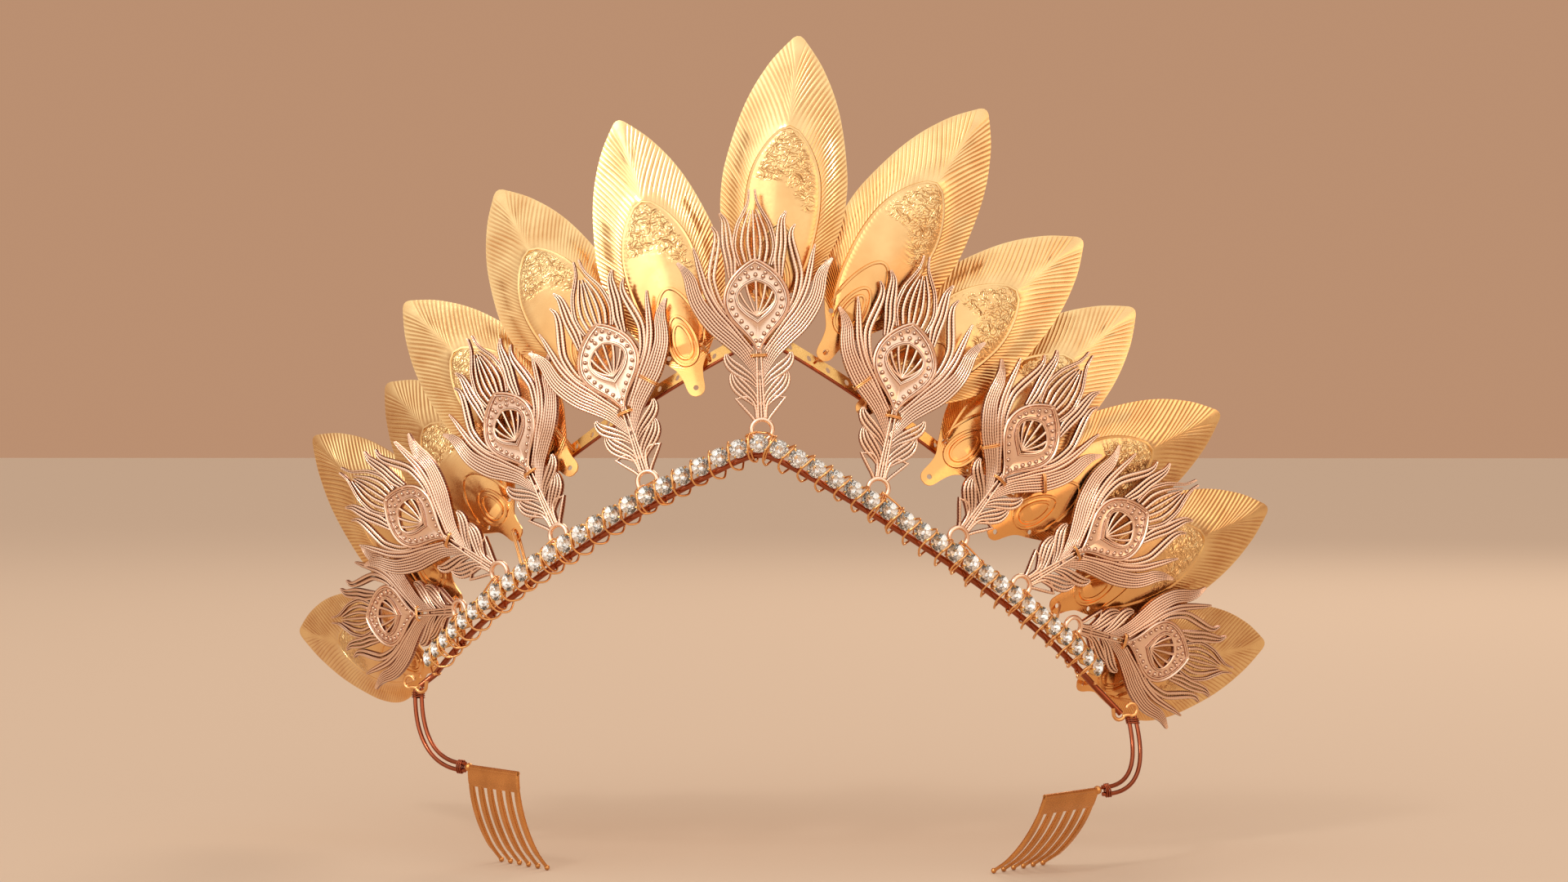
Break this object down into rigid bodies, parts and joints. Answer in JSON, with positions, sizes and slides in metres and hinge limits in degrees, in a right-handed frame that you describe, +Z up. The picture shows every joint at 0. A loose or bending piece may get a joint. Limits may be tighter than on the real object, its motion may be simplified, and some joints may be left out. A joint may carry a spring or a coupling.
{
  "type": "peacock feather crown on hair combs",
  "caption": "Bridal crown with cast peacock feathers and stamped leaves on a peaked crystal cup-chain band, held by wires on two curved hair combs.",
  "frame": {"origin": "middle of the crown's outline seen from above, at the level of the comb tips", "axes": "+Z up, the front with the crystals' tables faces -Y, +X to the right of someone who looks at the front"},
  "size_m": [0.217, 0.095, 0.168],
  "materials": {
    "gilt_brass": "polished yellow gilding",
    "leaf_gilt": "bright pale gilding on thin stamped sheet",
    "rose_gilt_casting": "rose and champagne gilding on milled castings",
    "copper_wire": "reddish-brown lacquered wire",
    "crystal": "clear, foil-backed faceted crystal"
  },
  "bodies": {
    "root": {"band_wire": "copper_wire", "cup_chain": "gilt_brass", "chain_stones": "crystal", "support_strip": "leaf_gilt", "ring_ties": "gilt_brass", "feather_centre": "rose_gilt_casting", "feather_left_1": "rose_gilt_casting", "feather_left_2": "rose_gilt_casting", "feather_left_3": "rose_gilt_casting", "feather_left_4": "rose_gilt_casting", "feather_right_1": "rose_gilt_casting", "feather_right_2": "rose_gilt_casting", "feather_right_3": "rose_gilt_casting", "feather_right_4": "rose_gilt_casting", "leaf_centre": "leaf_gilt", "leaf_left_1": "leaf_gilt", "leaf_left_2": "leaf_gilt", "leaf_left_3": "leaf_gilt", "leaf_left_4": "leaf_gilt", "leaf_left_5": "leaf_gilt", "leaf_left_6": "leaf_gilt", "leaf_right_1": "leaf_gilt", "leaf_right_2": "leaf_gilt", "leaf_right_3": "leaf_gilt", "leaf_right_4": "leaf_gilt", "leaf_right_5": "leaf_gilt", "leaf_right_6": "leaf_gilt", "hook_left": "gilt_brass", "hook_right": "gilt_brass", "end_wires_left": "copper_wire", "end_wires_right": "copper_wire", "comb_left": "gilt_brass", "comb_right": "gilt_brass"}
  },
  "joints": []
}
